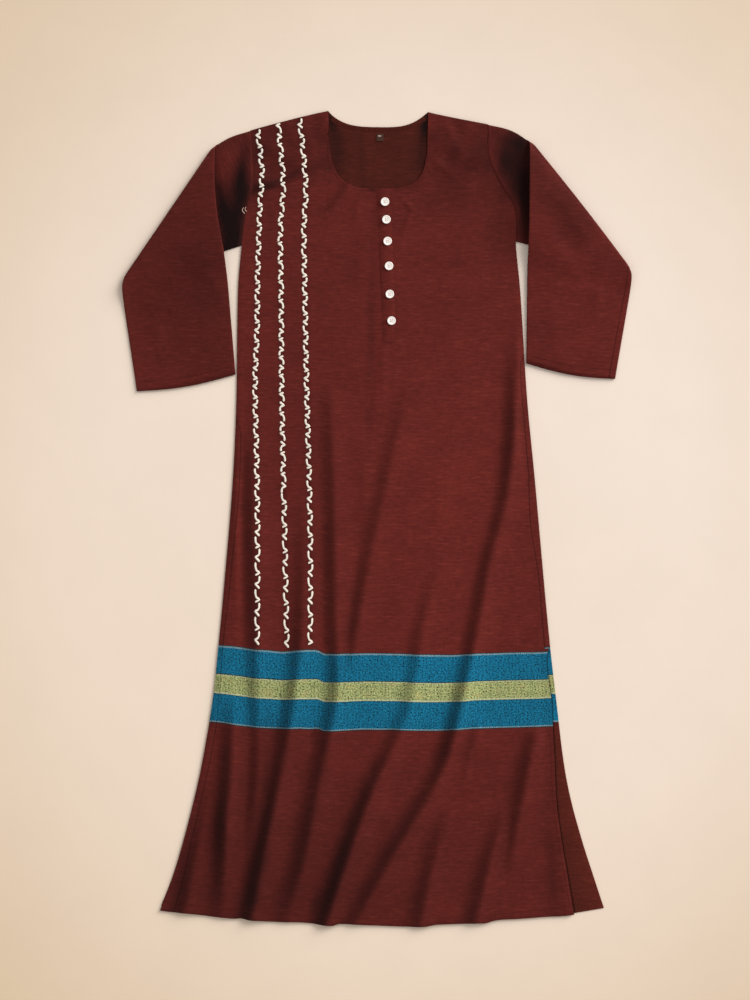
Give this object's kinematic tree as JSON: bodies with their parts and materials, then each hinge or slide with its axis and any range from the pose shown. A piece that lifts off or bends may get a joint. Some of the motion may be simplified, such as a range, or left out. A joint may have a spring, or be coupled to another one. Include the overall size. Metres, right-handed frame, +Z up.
{
  "type": "kurta tunic laid flat",
  "caption": "Long cotton kurta tunic laid flat with folded sleeves, scooped neck, buttoned placket, side slits and soft folds.",
  "frame": {"origin": "middle of the garment's box in plan, on the surface that it lies on", "axes": "+Z up from the surface, +Y from the hem to the neck, +X across to the garment's right side as seen from above"},
  "size_m": [0.7622, 1.223, 0.0155],
  "materials": {
    "cotton": "maroon handloom cotton with slubbed weft, a teal and lime woven border and cream embroidered stripes",
    "cotton_inside": "wrong side of the maroon handloom cotton, duller and darker",
    "button": "white polished polyester",
    "label": "plain black woven label, nothing on it"
  },
  "bodies": {
    "root": {"back_panel": "cotton_inside", "front_panel": "cotton", "sleeve_left": "cotton", "sleeve_right": "cotton", "placket": "cotton", "neck_binding": "cotton_inside", "label": "label", "button_1": "button", "button_2": "button", "button_3": "button", "button_4": "button", "button_5": "button", "button_6": "button"}
  },
  "joints": []
}
